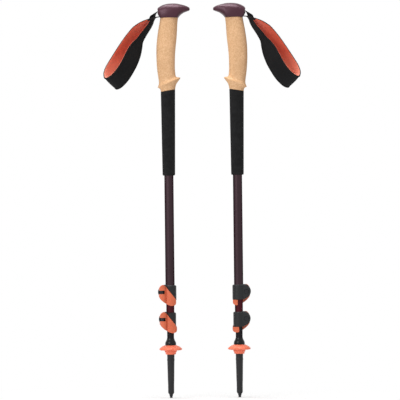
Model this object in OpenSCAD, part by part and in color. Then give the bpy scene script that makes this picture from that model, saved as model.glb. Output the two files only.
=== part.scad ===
// A pair of three-section trekking poles, stood upright on their points and folded to their shortest.
// Each pole is drawn about its own shaft: +Z up, +X the way the beak of the cap points, -Y the lever side,
// with the point of the tip at the origin. place() then stands the left and the right pole side by side.

/* [Pair] */
// Distance between the two shafts
pole_spacing = 120; // [110:1:200]

/* [Shafts] */
// Outer diameter of the upper shaft
upper_d = 16; // [15.8:0.1:16.4]
// Outer diameter of the middle shaft
middle_d = 14; // [13.8:0.1:14.1]
// Outer diameter of the lower shaft
lower_d = 12; // [11.8:0.1:12.1]
// Wall of the upper shaft
upper_wall = 0.7; // [0.6:0.05:0.75]
// Wall of the middle shaft
middle_wall = 0.7; // [0.6:0.05:0.75]
// Wall of the lower shaft
lower_wall = 0.8; // [0.6:0.1:1]
// Room left in the upper shaft above the folded middle shaft
folded_room = 32; // [10:1:60]
// Bare length of the middle shaft when folded
middle_bare = 21.5; // [16:0.5:40]
// Bare length of the lower shaft when folded
lower_bare = 19.5; // [16:0.5:40]
// How far each lower section pulls out
travel = 350; // [200:5:350]
// Length of shaft that stays inside the next one at full length
insertion = 80; // [60:1:80]

/* [Clamps] */
// Wall of a clamp's collar round its shaft
collar_wall = 3; // [2.6:0.1:3.4]
// Height of a clamp's collar
collar_h = 26; // [26:0.5:30]
// Width of the slit that closes when a clamp is tightened
slit = 1.6; // [1.2:0.1:2]
// Radius of the barrel nut that a lever turns on
barrel_r = 3; // [2.6:0.1:3.2]
// Length of the barrel nut
barrel_len = 12; // [10:0.5:13]
// Radius of the tension screw
screw_r = 2; // [1.6:0.1:2.2]
// Radius of the tension screw's head
screw_head_r = 3.6; // [3.2:0.1:4]
// Height of the tension screw's head
screw_head_h = 2.4; // [2:0.1:2.8]
// Thickness of a lever's blade
blade_t = 2.8; // [2.4:0.1:3.2]
// Radius of a lever's cam
cam_r = 6.2; // [5.8:0.1:6.4]
// Height of the slot that the screw swings in
lever_slot = 6; // [5:0.5:7]

/* [Grip] */
// Length of the foam sleeve below the cork
foam_len = 148.5; // [120:0.5:170]
// Radius of the foam sleeve where it meets the cork
foam_top_r = 12.6; // [12:0.1:13.4]
// Radius of the foam sleeve's lower end
foam_foot_r = 11; // [10.4:0.1:12]
// Length of the cork grip
cork_len = 127.5; // [120:0.5:135]
// Slope of the joint between cork and foam, rise over run
joint_slope = 0.16; // [0:0.01:0.2]
// How deep the cap's spigot reaches into the shaft
spigot_len = 20; // [12:1:24]

/* [Wrist strap] */
// Width of the padded band
band_w = 36; // [30:1:40]
// Thickness of the band's outer layer
band_t = 1.8; // [1.4:0.1:2.2]
// Thickness of the band's lining
lining_t = 1.2; // [0.8:0.1:1.6]
// Width of the webbing that joins the band to the cap
webbing_w = 15; // [12:0.5:16]
// Thickness of the webbing
webbing_t = 1.2; // [1:0.1:1.4]
// Length of the band's loop
loop_len = 130.5; // [120:0.5:145]
// Angle at which the strap hangs behind the grip, from the vertical
strap_hang = 33; // [30:1:45]
// How far the loop is turned about its own length
strap_turn = 50; // [40:1:60]
// How far the webbing is already turned where it meets the loop
neck_turn = 30; // [20:1:40]
// Radius of the pin that the webbing goes round
strap_pin_r = 1.5; // [1.2:0.1:1.8]

/* [Tip and basket] */
// Radius of the basket
basket_r = 20; // [18:0.5:26]
// Thickness of the basket's plate
basket_t = 1.8; // [1.4:0.1:2.4]
// Number of lobes round the basket's rim
basket_lobes = 7; // [5:1:10]
// Radius of the tip's lower end, which a rubber foot pushes over
tip_seat_r = 5.35; // [5:0.05:5.8]
// Length of that lower end
tip_seat_len = 14; // [10:1:20]
// Length of the hard point that stands out of the tip
point_len = 6; // [5:0.5:8]
// Radius of the hard point
point_r = 2.4; // [2:0.1:2.6]

/* [Hidden] */
SIDES = ["left", "right"];
PIECES = ["cap", "cork_grip", "foam_sleeve", "strap_pin", "strap_wedge", "strap_webbing", "strap_band",
    "strap_lining", "upper_shaft", "upper_clamp", "upper_lever", "upper_barrel_nut", "upper_screw",
    "upper_washer", "middle_plug", "middle_shaft", "lower_clamp", "lower_lever", "lower_barrel_nut",
    "lower_screw", "lower_washer", "lower_plug", "lower_shaft", "tip", "tip_ferrule", "hard_point", "basket"];

round_fn = 96;      // facets of a round face in a preview
cut = 120;          // side of a block that cuts everything beyond a face
glue_gap = 0.05;    // between pieces that are glued or pressed together
run_gap = 0.08;     // between a pin or shaft and the bore that it turns or slides in
ply_gap = 0.15;     // between the two layers of the strap
free_gap = 0.4;     // between pieces that move past each other without touching

// Tip's body from its seat to the ring, and its bell above the basket: radius, height
TIP_BODY = [[5.7, 32], [6, 50], [6.3, 65]];
TIP_BELL = [[9.7, 0], [9.75, 1.6], [9.6, 3.4], [9.1, 5.2], [8.2, 7], [7.3, 8.6], [6.8, 9.8], [6.6, 10.8], [6.5, 11.5]];

// Heights, from the point of the tip up
tip_bell_h = TIP_BELL[len(TIP_BELL) - 1][1];      // the bell that covers the top of the basket
basket_hub_h = 16.5;                             // the basket's threaded hub
basket_z = 76;                                   // underside of the basket's hub
bell_z = basket_z + basket_hub_h;                // underside of the tip's bell
tip_top_z = bell_z + tip_bell_h;                 // top of the tip
lower_end_z = bell_z + 3;                        // lower end of the lower shaft, inside the bell
lower_clamp_z = tip_top_z + lower_bare;          // underside of the lower clamp
upper_clamp_z = lower_clamp_z + collar_h + middle_bare;
clamp_lip = 2;                                   // a clamp's lip below the end of its shaft
upper_end_z = upper_clamp_z + clamp_lip;         // lower end of the upper shaft
middle_end_z = lower_clamp_z + clamp_lip;        // lower end of the middle shaft
plug_head = 6;                                   // height of the guide plug's head
plug_stem = 14;                                  // length of the guide plug's stem
middle_top_z = upper_clamp_z + insertion + travel;
lower_top_z = lower_clamp_z + insertion + travel;
// The upper shaft is as long as the folded middle shaft needs, and the grip sits at its top
shaft_top_z = middle_top_z + plug_head + folded_room + spigot_len;
cap_z = shaft_top_z + 6;                         // underside of the cap
cork_z = cap_z - cork_len;                       // cork and foam meet here, at the shaft's axis
foam_z = cork_z - foam_len;                      // foot of the foam sleeve

// Radii
upper_r = upper_d / 2;
middle_r = middle_d / 2;
lower_r = lower_d / 2;
upper_bore_r = upper_r - upper_wall;
middle_bore_r = middle_r - middle_wall;
lower_bore_r = lower_r - lower_wall;

// Cork grip, ring by ring: height at the axis, slope, reach to the front, to the rear and to each side
CORK = [
    [0, joint_slope, foam_top_r, foam_top_r, foam_top_r],
    [3.5, 0.17, 13.2, 13, 12.9],
    [8, 0.27, 15.2, 14.9, 14.2],
    [12.5, 0.4, 21.6, 17.8, 16.4],
    [14.4, 0.41, 20.6, 17.2, 16],
    [19, 0.36, 14.6, 15.6, 13.8],
    [27, 0.25, 13.2, 16.6, 13.6],
    [37, 0.13, 12.6, 18.2, 13.9],
    [49, 0.06, 12.7, 19.2, 14.3],
    [62, 0.02, 13.1, 19.6, 14.5],
    [77, 0, 14.4, 19.3, 14.5],
    [91, 0, 16, 18, 14.3],
    [105, 0, 17, 16, 14.1],
    [117, 0, 17.7, 13.8, 14],
    [127.5, 0, 19, 12, 14.3],
];
// Cap, section by section from the rear: distance ahead of the shaft, underside, top, half width
CAP = [
    [-17, 8.5, 15.2, 5],
    [-16.4, 6.5, 16.8, 8.5],
    [-15, 3.5, 18.2, 10.6],
    [-12, -4, 20.2, 12.6],
    [-8, -9, 22.2, 14.2],
    [-1, -9, 24.2, 15.6],
    [8, -9, 25, 16],
    [15, -7.6, 24.8, 15.4],
    [19, -1.6, 24.3, 14.6],
    [22, 3, 23.6, 13.6],
    [28, 7.8, 22.2, 11.6],
    [34, 10.3, 20.2, 8.8],
    [38, 11.8, 18, 5.6],
    [39.6, 13, 16.4, 3],
];
RING_POINTS = 28;
CORK_POWER = 2.3;  // 2 is an ellipse, and more is squarer
CAP_POWER = 2.4;

// Loop of the strap: how far along, half the opening, width. The side nearer the viewer runs down from the neck
// as bare webbing before it widens into the pad, and the far side is padded all the way up.
neck_half = 3.15;
LOOP_FOOT = 135.5;
NEAR_SIDE = [
    [0, neck_half, webbing_w],
    [10, 2.9, webbing_w],
    [20, 2.4, webbing_w],
    [30, 2.1, webbing_w + 0.5],
    [41, 2.4, 0.48 * band_w],
    [52, 4, 0.72 * band_w],
    [65, 7, 0.92 * band_w],
    [82, 11, band_w],
    [97, 13, band_w],
    [110, 13, band_w],
    [121, 10.6, band_w],
    [130.5, 6, band_w],
];
FAR_SIDE = [
    [131.5, -8.6, band_w],
    [125, -13, band_w],
    [114, -15.6, band_w],
    [90, -16.2, band_w],
    [70, -16, band_w],
    [52, -15, band_w],
    [31, -11.6, band_w],
    [22, -8.8, 0.98 * band_w],
    [14, -6.4, 0.88 * band_w],
    [6, -4.4, 0.64 * band_w],
    [0, -neck_half, webbing_w],
];
LOOP = refine(concat(NEAR_SIDE, [[LOOP_FOOT, -1.2, band_w]], FAR_SIDE), 3);

// The neck, and the webbing's way round its pin, ahead of the shaft and above the cap's underside
neck_at = [-28, -4.5];
strap_pin_at = [-5, 5.2];
wrap_r = strap_pin_r + webbing_t / 2 + 0.2;
hang = [-sin(strap_hang), -cos(strap_hang)];  // the way the loop hangs
lift = [-hang[1], hang[0]];                   // square to it, from the upper strand to the lower one
strand = (webbing_t / 2 + 0.08) / cos(neck_turn);
WEBBING = concat(
    [neck_at + strand * lift, neck_at + 1.1 * strand * lift - 2.6 * hang, neck_at + 2 * strand * lift - 5 * hang,
    [-20.6, 0.7], [-15, 1.6], [-9.5, 2]],
    [for (a = [-100 : 25 : 100]) strap_pin_at + wrap_r * [cos(a), sin(a)]],
    [[-7.6, 9.4], [-10.4, 11], [-14, 11.5], [-17, 10.5], [-20.6, 7.3], [-23.6, 3.6]],
    [neck_at - 1.8 * strand * lift - 5 * hang, neck_at - 1.1 * strand * lift - 2.6 * hang, neck_at - strand * lift]);
twist_from = -17.5;  // ahead of the shaft, where the webbing starts to turn
twist_to = -27;

// Lever blade seen from its own side: ahead of the shaft, above the underside of the clamp
LEVER_FRONT = 10;
HOOK_Y = 8.8;  // how far the hooked end reaches round the shaft
LEVER = [
    [-12.2, 26.8], [-15.6, 25.8], [-18.8, 22.2], [-20.8, 16.8], [-21, 11.2], [-19.4, 5.6],
    [-16, 1], [-11.4, -3.2], [-5.6, -7], [-0.6, -9.3], [3.4, -10], [7.4, -9.3], [LEVER_FRONT, -6.8],
    [LEVER_FRONT + 0.4, -3], [LEVER_FRONT, 1], [7.6, 4.6], [2.6, 11], [-3.6, 18.8], [-8.2, 24.8],
];

// ---------------------------------------------------------------- shared shapes

// Rows of numbers, with n - 1 more rows between each two, on a smooth curve through them
function between(a, b, c, d, t) =
    0.5 * (2 * b + (c - a) * t + (2 * a - 5 * b + 4 * c - d) * t * t + (3 * b - a - 3 * c + d) * t * t * t);
function refine(rows, n) =
    let (last = len(rows) - 1)
    concat(
        [for (i = [0 : last - 1], k = [0 : n - 1])
            between(rows[max(i - 1, 0)], rows[i], rows[i + 1], rows[min(i + 2, last)], k / n)],
        [rows[last]]);
function refine_ring(rows, n) =
    let (m = len(rows))
    [for (i = [0 : m - 1], k = [0 : n - 1])
        between(rows[(i + m - 1) % m], rows[i], rows[(i + 1) % m], rows[(i + 2) % m], k / n)];

// One coordinate of a rounded ring: c is the cosine or sine of the angle
function rounded(c, power) = sign(c) * pow(abs(c), 2 / power);
function unit(v) = v / norm(v);
function ease(x) = let (t = min(max(x, 0), 1)) t * t * (3 - 2 * t);

// A closed skin over rings of points, from the first ring to the last
module loft(rings) {
    n = len(rings[0]);
    m = len(rings);
    sides = [for (j = [0 : m - 2], i = [0 : n - 1], half = [0, 1])
        let (a = j * n + i, b = j * n + (i + 1) % n)
        2 * i < n
            ? (half == 0 ? [a, a + n, b + n] : [a, b + n, b])
            : (half == 0 ? [a, a + n, b] : [a + n, b + n, b])];
    polyhedron(
        points = [for (ring = rings) each ring],
        faces = concat([[for (i = [0 : n - 1]) i]], sides, [[for (i = [n - 1 : -1 : 0]) (m - 1) * n + i]]));
}

module tube(r, bore_r, z0, z1) {
    translate([0, 0, z0])
        difference() {
            cylinder(r = r, h = z1 - z0, $fn = round_fn);
            translate([0, 0, -1]) cylinder(r = bore_r, h = z1 - z0 + 2, $fn = round_fn);
        }
}

// A cylinder along Y from y0 to y1
module cross_pin(r, y0, y1) {
    translate([0, y0, 0]) rotate([-90, 0, 0]) cylinder(r = r, h = y1 - y0, $fn = round_fn);
}

// ---------------------------------------------------------------- grip

module cork_solid() {
    stretch = cork_len / CORK[len(CORK) - 1][0];
    loft([for (row = refine(CORK, 2))
        [for (i = [0 : RING_POINTS - 1])
            let (a = i * 360 / RING_POINTS,
                x = rounded(cos(a), CORK_POWER) * (cos(a) > 0 ? row[2] : row[3]))
            [x, rounded(sin(a), CORK_POWER) * row[4], cork_z + row[0] * stretch + row[1] * x]]]);
}

module cork_grip() {
    color("burlywood")
        difference() {
            cork_solid();
            translate([0, 0, cork_z - 10])
                cylinder(r = upper_r + glue_gap, h = cork_len + 20, $fn = round_fn);
        }
}

module foam_sleeve() {
    foot_round = 2.4;
    bend = foam_foot_r - foot_round;
    color([0.13, 0.13, 0.14])
        difference() {
            rotate_extrude($fn = round_fn)
                polygon(concat(
                    [[upper_r + glue_gap, foam_z], [bend, foam_z]],
                    [for (a = [15 : 15 : 75]) [bend + foot_round * sin(a), foam_z + foot_round * (1 - cos(a))]],
                    [[foam_foot_r, foam_z + foot_round], [foam_top_r, cork_z + 6], [upper_r + glue_gap, cork_z + 6]]));
            translate([0, 0, cork_z - glue_gap])
                multmatrix([[1, 0, 0, 0], [0, 1, 0, 0], [joint_slope, 0, 1, 0]])
                    translate([-cut / 2, -cut / 2, 0]) cube([cut, cut, cut]);
        }
}

module cap_solid() {
    loft([for (row = refine(CAP, 2))
        let (mid = (row[1] + row[2]) / 2, half = (row[2] - row[1]) / 2)
        [for (i = [0 : RING_POINTS - 1])
            let (a = i * 360 / RING_POINTS)
            [row[0], rounded(cos(a), CAP_POWER) * row[3], cap_z + mid + rounded(sin(a), CAP_POWER) * half]]]);
}

module cap() {
    mouth = webbing_w + 2;
    color([0.3, 0.12, 0.19])
        difference() {
            union() {
                difference() {
                    cap_solid();
                    translate([-cut / 2, -cut / 2, cap_z - cut + glue_gap]) cube([cut, cut, cut]);
                }
                // the spigot that plugs the shaft
                translate([0, 0, shaft_top_z - spigot_len])
                    cylinder(r = upper_bore_r - glue_gap, h = cap_z + 2 - shaft_top_z + spigot_len, $fn = round_fn);
            }
            // chamber for the webbing and its pin
            translate([-9.6, -mouth / 2, cap_z - 1]) cube([12, mouth, 15.5]);
            // slots for the upper and the lower strand
            translate([-24, -mouth / 2, cap_z + 9]) cube([16, mouth, 4.4]);
            translate([-24, -mouth / 2, cap_z - 1]) cube([16, mouth, 4.2]);
            // seats of the strap pin
            translate([strap_pin_at[0], 0, cap_z + strap_pin_at[1]])
                cross_pin(strap_pin_r + glue_gap, -mouth / 2 - 3, mouth / 2 + 3);
        }
}

module strap_pin() {
    half = webbing_w / 2 + 3.8;
    color("silver")
        translate([strap_pin_at[0], 0, cap_z + strap_pin_at[1]]) cross_pin(strap_pin_r, -half, half);
}

// The block that pinches the upper strand against the roof of the chamber
module strap_wedge() {
    half = webbing_w / 2;
    color([0.12, 0.12, 0.13])
        translate([0, half, cap_z]) rotate([90, 0, 0])
            linear_extrude(webbing_w)
                polygon([
                    [-9.2, 14.3], [-9.2, 11.8], [-7.6, 10.7], [-5.4, 9.1], [-3.4, 8.3], [1.6, 8.3], [1.6, 14.3],
                ]);
}

// ---------------------------------------------------------------- wrist strap

module strap_webbing() {
    line = refine(WEBBING, 2);
    last = len(line) - 1;
    color([0.12, 0.12, 0.13])
        loft([for (i = [0 : last])
            let (p = [line[i][0], 0, line[i][1] + cap_z],
                d = unit(line[min(i + 1, last)] - line[max(i - 1, 0)]),
                t = [d[0], 0, d[1]],
                turn = neck_turn * ease((line[i][0] - twist_from) / (twist_to - twist_from)),
                way = [lift[0] * sin(turn), cos(turn), lift[1] * sin(turn)],
                w = unit(way - (way * t) * t) * webbing_w / 2,
                n = cross(t, w) / webbing_w * webbing_t)
            [p - w - n, p + w - n, p + w + n, p - w + n]]);
}

// The loop's middle line, and the way its width points, turned little by little below the neck. Its foot is askew.
function turned(along) = neck_turn + (strap_turn - neck_turn) * ease(along / 45);
function askew(along) = 0.16 * ease((along - 70) / 50);
function open_way(along) = let (a = turned(along)) [lift[0] * cos(a), -sin(a), lift[1] * cos(a)];
function width_way(along) =
    let (a = turned(along), b = askew(along))
    unit([lift[0] * sin(a) + b * hang[0], cos(a), lift[1] * sin(a) + b * hang[1]]);
function loop_point(row) =
    let (along = row[0] * loop_len / LOOP_FOOT)
    [neck_at[0], 0, neck_at[1] + cap_z] + along * [hang[0], 0, hang[1]] + row[1] * open_way(row[0]);

// A ribbon round the loop, from a depth of near to a depth of far inside the band's outer face
module ribbon(near, far, margin, bevel) {
    last = len(LOOP) - 1;
    loft([for (i = [0 : last])
        let (p = loop_point(LOOP[i]),
            t = unit(loop_point(LOOP[min(i + 1, last)]) - loop_point(LOOP[max(i - 1, 0)])),
            w = unit((width_way(LOOP[i][0]) * t) * t - width_way(LOOP[i][0])),
            n = cross(w, t),
            half = LOOP[i][2] / 2 - margin)
        [p - near * n - (half - bevel) * w, p - (near + bevel) * n - half * w,
            p - (far - bevel) * n - half * w, p - far * n - (half - bevel) * w,
            p - far * n + (half - bevel) * w, p - (far - bevel) * n + half * w,
            p - (near + bevel) * n + half * w, p - near * n + (half - bevel) * w]]);
}

module strap_band() {
    color([0.13, 0.13, 0.14]) ribbon(-band_t, 0, 0, 0.4);
}

module strap_lining() {
    color([0.95, 0.4, 0.28]) ribbon(ply_gap, lining_t, 1.2, 0.3);
}

// ---------------------------------------------------------------- clamps

// Where a clamp's screw and the axis of its lever stand, for a collar of radius r
ear_t = 3.6;
washer_t = 1;
washer_r = 3.3;
screw_z = 14;
function screw_x(r) = -r - 2.6;
lever_y = -(slit / 2 + ear_t + washer_t + 0.3 + cam_r);
round_ear_r = 12.8;
round_ear_z = 14.3;
round_ear_y = 8.2;

module clamp(z, outer_r, inner_r) {
    r = outer_r + collar_wall;
    sx = screw_x(r);
    color([0.16, 0.16, 0.17])
        translate([0, 0, z])
            difference() {
                union() {
                    cylinder(r = r, h = collar_h - 1.4, $fn = round_fn);
                    translate([0, 0, collar_h - 1.4]) cylinder(r1 = r, r2 = r - 1.4, h = 1.4, $fn = round_fn);
                    // the round ear, on the side of the screw's head
                    translate([sx + 5.2, 0, round_ear_z]) cross_pin(round_ear_r, 0, round_ear_y - 1.6);
                    translate([sx + 5.2, round_ear_y - 1.6, round_ear_z]) rotate([-90, 0, 0])
                        cylinder(r1 = round_ear_r, r2 = round_ear_r - 1.6, h = 1.6, $fn = round_fn);
                    // the flat ear, on the lever's side
                    translate([sx, 0, screw_z]) cross_pin(6.4, -slit / 2 - ear_t, 0);
                    translate([sx, -slit / 2 - ear_t, screw_z - 6.4]) cube([8, slit / 2 + ear_t, 12.8]);
                }
                translate([0, 0, clamp_lip]) cylinder(r = outer_r + glue_gap, h = collar_h, $fn = round_fn);
                translate([0, 0, -1]) cylinder(r = inner_r + run_gap, h = collar_h, $fn = round_fn);
                translate([-40, -slit / 2, -1]) cube([40, slit, collar_h + 2]);
                translate([sx, 0, screw_z]) cross_pin(screw_r + run_gap, -20, 20);
                translate([sx, round_ear_y - 3.2, screw_z]) cross_pin(screw_head_r + free_gap, 0, 10);
            }
}

module clamp_washer(z, outer_r) {
    sx = screw_x(outer_r + collar_wall);
    face = -slit / 2 - ear_t;
    color("dimgray")
        translate([sx, 0, z + screw_z])
            difference() {
                cross_pin(washer_r, face - washer_t, face - 0.02);
                cross_pin(screw_r + free_gap, -20, 0);
            }
}

module clamp_screw(z, outer_r) {
    sx = screw_x(outer_r + collar_wall);
    under = round_ear_y - 3.2 + 0.05;
    color("dimgray")
        translate([sx, 0, z + screw_z])
            difference() {
                union() {
                    cross_pin(screw_r, lever_y - barrel_r + 0.4, under + 0.5);
                    cross_pin(screw_head_r, under, under + screw_head_h);
                }
                translate([0, under + screw_head_h - 1.6, 0]) rotate([-90, 0, 0])
                    cylinder(r = 1.7, h = 3, $fn = 6);
            }
}

module barrel_nut(z, outer_r) {
    sx = screw_x(outer_r + collar_wall);
    color("silver")
        translate([sx, lever_y, z + screw_z])
            difference() {
                translate([0, 0, -barrel_len / 2]) cylinder(r = barrel_r, h = barrel_len, $fn = round_fn);
                cross_pin(screw_r + run_gap, -10, 10);
            }
}

module lever(z, outer_r, inner_r) {
    r = outer_r + collar_wall;
    sx = screw_x(r);
    out_r = r + free_gap + blade_t;
    small = r - 11;  // the blade is drawn for a collar of 11, and moves in with a smaller one
    // the hooked end swings past the shaft on this circle round the barrel nut
    hook_r = norm([sx, lever_y]) + inner_r + 2 * free_gap;
    color([0.94, 0.45, 0.33])
        translate([0, 0, z])
            difference() {
                intersection() {
                    union() {
                        // the blade, along the collar and under it
                        difference() {
                            translate([0, 0, -cut / 4]) cylinder(r = out_r, h = cut, $fn = round_fn);
                            translate([0, 0, -free_gap]) cylinder(r = r + free_gap, h = cut, $fn = round_fn);
                            translate([-cut / 2, 0, -free_gap]) cube([cut, cut, cut]);
                            translate([-cut, 0, -cut / 2]) cube([cut, cut, cut]);
                        }
                        // the cam, flattened where it faces the washer when the lever is open
                        translate([sx, lever_y, -cut / 4])
                            difference() {
                                cylinder(r = cam_r, h = cut, $fn = round_fn);
                                rotate([0, 0, 200]) translate([cam_r - 0.9, -cut / 2, -1]) cube([cut, cut, cut + 2]);
                            }
                    }
                    translate([-small, HOOK_Y, 0]) rotate([90, 0, 0])
                        linear_extrude(cut) polygon(refine_ring(LEVER, 2));
                }
                // round the shaft, and the way that the hooked end takes past it
                translate([0, 0, -cut / 2]) cylinder(r = inner_r + 1, h = cut, $fn = round_fn);
                intersection() {
                    translate([sx, lever_y, -cut / 2]) cylinder(r = hook_r, h = cut, $fn = round_fn);
                    translate([-cut / 2, HOOK_Y / 2, -cut / 2]) cube([cut, cut, cut]);
                }
                // the bore of the barrel nut, and the slot that the screw swings in
                translate([sx, lever_y, screw_z - barrel_len / 2 - 0.3])
                    cylinder(r = barrel_r + run_gap, h = cut, $fn = round_fn);
                translate([-cut, -cut / 2, screw_z - lever_slot / 2]) cube([cut + sx + 4.2, cut, lever_slot]);
                // room for the flat ear, and for the collar as the lever swings out
                translate([sx + 3, -8.4, -free_gap]) cube([12, 20, cut]);
                translate([sx - 30, lever_y + cam_r, -cut / 2]) cube([40, 20, cut]);
            }
}

module upper_clamp() { clamp(upper_clamp_z, upper_r, middle_r); }
module upper_washer() { clamp_washer(upper_clamp_z, upper_r); }
module upper_screw() { clamp_screw(upper_clamp_z, upper_r); }
module upper_barrel_nut() { barrel_nut(upper_clamp_z, upper_r); }
module upper_lever() { lever(upper_clamp_z, upper_r, middle_r); }
module lower_clamp() { clamp(lower_clamp_z, middle_r, lower_r); }
module lower_washer() { clamp_washer(lower_clamp_z, middle_r); }
module lower_screw() { clamp_screw(lower_clamp_z, middle_r); }
module lower_barrel_nut() { barrel_nut(lower_clamp_z, middle_r); }
module lower_lever() { lever(lower_clamp_z, middle_r, lower_r); }

// ---------------------------------------------------------------- shafts

// A shaft whose lower end is slit, so that its clamp can squeeze it
module slit_shaft(r, bore_r, z0, z1) {
    difference() {
        tube(r, bore_r, z0, z1);
        translate([-20, -slit / 2, z0 - 1]) cube([20, slit, collar_h - clamp_lip - 1]);
    }
}

module upper_shaft() {
    color([0.26, 0.17, 0.2]) slit_shaft(upper_r, upper_bore_r, upper_end_z, shaft_top_z);
}

module middle_shaft() {
    color([0.42, 0.13, 0.18]) slit_shaft(middle_r, middle_bore_r, middle_end_z, middle_top_z);
}

module lower_shaft() {
    color([0.12, 0.11, 0.12]) tube(lower_r, lower_bore_r, lower_end_z, lower_top_z);
}

// A guide plug glued into the top of a shaft, running in the next shaft's bore
module guide_plug(head_r, stem_r, z) {
    color([0.2, 0.2, 0.21])
        difference() {
            union() {
                translate([0, 0, z + 0.02]) cylinder(r = head_r, h = plug_head, $fn = round_fn);
                translate([0, 0, z - plug_stem]) cylinder(r = stem_r, h = plug_stem + 1, $fn = round_fn);
            }
            translate([0, 0, z - plug_stem - 1]) cylinder(r = stem_r - 1.6, h = plug_stem + plug_head + 3, $fn = round_fn);
        }
}

module middle_plug() { guide_plug(upper_bore_r - run_gap, middle_bore_r - glue_gap, middle_top_z); }
module lower_plug() { guide_plug(middle_bore_r - run_gap, lower_bore_r - glue_gap, lower_top_z); }

// ---------------------------------------------------------------- tip and basket

thread_r = 6.9;
shoulder_z = point_len + 3;  // where the seat of a rubber foot begins
tip_ring_z = 66;             // a raised ring round the tip, under the basket
tip_ring_h = 1.6;
tip_ring_r = 6.6;

module tip() {
    stem_h = 34;
    color([0.2, 0.2, 0.21])
        difference() {
            rotate_extrude($fn = round_fn)
                polygon(concat(
                    [[0, point_len + 0.3], [3.6, point_len + 0.3], [tip_seat_r, shoulder_z],
                    [tip_seat_r, shoulder_z + tip_seat_len]],
                    TIP_BODY,
                    [[tip_ring_r, tip_ring_z], [tip_ring_r, tip_ring_z + tip_ring_h],
                    [tip_ring_r - 0.3, tip_ring_z + tip_ring_h + 1], [thread_r - 0.4, basket_z],
                    [thread_r, basket_z + 1], [thread_r, bell_z]],
                    [for (row = TIP_BELL) [row[0], bell_z + row[1]]],
                    [[0, tip_top_z]]));
            tube(lower_r + glue_gap, lower_bore_r - glue_gap, lower_end_z - glue_gap, tip_top_z + 2);
            translate([0, 0, -1]) cylinder(r = 2.9 + glue_gap, h = 22, $fn = round_fn);
        }
    color([0.2, 0.2, 0.21])
        translate([0, 0, tip_top_z - 1]) cylinder(r = lower_bore_r - glue_gap, h = stem_h - tip_bell_h, $fn = round_fn);
}

module tip_ferrule() {
    color("gray")
        difference() {
            union() {
                translate([0, 0, 3.4]) cylinder(r1 = 2.8, r2 = 3.3, h = point_len - 3.4 + 0.25, $fn = round_fn);
                translate([0, 0, point_len]) cylinder(r = 2.9, h = 14, $fn = round_fn);
            }
            translate([0, 0, 0]) cylinder(r = 1.5 + glue_gap, h = 12, $fn = round_fn);
        }
}

module hard_point() {
    color("darkgray")
        rotate_extrude($fn = round_fn)
            polygon([
                [0, 0.7], [1.5, 0], [point_r - 0.2, 0], [point_r, 0.4], [point_r, 3.35], [1.5, 3.35],
                [1.5, 11.5], [0, 11.5],
            ]);
}

module basket() {
    bore = thread_r + run_gap;
    top = bell_z - 0.4;
    color([0.99, 0.5, 0.36])
        difference() {
            rotate_extrude($fn = round_fn)
                polygon([
                    [bore, basket_z + 0.1], [8.6, basket_z + 0.1], [9.1, basket_z + 0.8], [9.2, basket_z + 3.4],
                    [10.8, basket_z + 4.6], [14.4, basket_z + 5.6], [basket_r - 2.2, basket_z + 7.4],
                    [basket_r - 0.6, basket_z + 8], [basket_r, basket_z + 8.7], [basket_r, basket_z + 9.6],
                    [basket_r - 1.2, basket_z + 11.2], [basket_r - 3.4, basket_z + 13], [14, basket_z + 14.6],
                    [11.6, top - 0.6], [10.4, top], [bore, top],
                ]);
            // hollow between the hub and the plate, open below
            rotate_extrude($fn = round_fn)
                polygon([
                    [10.6, basket_z - 1], [basket_r - 3, basket_z - 1], [basket_r - 3, basket_z + 8.4],
                    [15, basket_z + 13.6 - basket_t], [10.6, basket_z + 14.4 - basket_t],
                ]);
            for (i = [0 : basket_lobes - 1])
                rotate([0, 0, (i + 0.5) * 360 / basket_lobes]) translate([basket_r + 2.6, 0, basket_z - 1])
                    cylinder(r = 4, h = 2 * basket_hub_h, $fn = round_fn);
        }
}

// ---------------------------------------------------------------- the pair

module place(side) {
    way = side == "left" ? -1 : 1;
    translate([way * pole_spacing / 2, 0, 0]) rotate([0, 0, way < 0 ? 0 : 180]) children();
}

// The straps are each other's mirror image, as they hang
module hang_strap(side) {
    place(side) scale([1, side == "left" ? 1 : -1, 1]) children();
}

place("left") cap();  // left_cap
place("left") cork_grip();  // left_cork_grip
place("left") foam_sleeve();  // left_foam_sleeve
place("left") strap_pin();  // left_strap_pin
place("left") strap_wedge();  // left_strap_wedge
hang_strap("left") strap_webbing();  // left_strap_webbing
hang_strap("left") strap_band();  // left_strap_band
hang_strap("left") strap_lining();  // left_strap_lining
place("left") upper_shaft();  // left_upper_shaft
place("left") upper_clamp();  // left_upper_clamp
place("left") upper_lever();  // left_upper_lever
place("left") upper_barrel_nut();  // left_upper_barrel_nut
place("left") upper_screw();  // left_upper_screw
place("left") upper_washer();  // left_upper_washer
place("left") middle_plug();  // left_middle_plug
place("left") middle_shaft();  // left_middle_shaft
place("left") lower_clamp();  // left_lower_clamp
place("left") lower_lever();  // left_lower_lever
place("left") lower_barrel_nut();  // left_lower_barrel_nut
place("left") lower_screw();  // left_lower_screw
place("left") lower_washer();  // left_lower_washer
place("left") lower_plug();  // left_lower_plug
place("left") lower_shaft();  // left_lower_shaft
place("left") tip();  // left_tip
place("left") tip_ferrule();  // left_tip_ferrule
place("left") hard_point();  // left_hard_point
place("left") basket();  // left_basket
place("right") cap();  // right_cap
place("right") cork_grip();  // right_cork_grip
place("right") foam_sleeve();  // right_foam_sleeve
place("right") strap_pin();  // right_strap_pin
place("right") strap_wedge();  // right_strap_wedge
hang_strap("right") strap_webbing();  // right_strap_webbing
hang_strap("right") strap_band();  // right_strap_band
hang_strap("right") strap_lining();  // right_strap_lining
place("right") upper_shaft();  // right_upper_shaft
place("right") upper_clamp();  // right_upper_clamp
place("right") upper_lever();  // right_upper_lever
place("right") upper_barrel_nut();  // right_upper_barrel_nut
place("right") upper_screw();  // right_upper_screw
place("right") upper_washer();  // right_upper_washer
place("right") middle_plug();  // right_middle_plug
place("right") middle_shaft();  // right_middle_shaft
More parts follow.
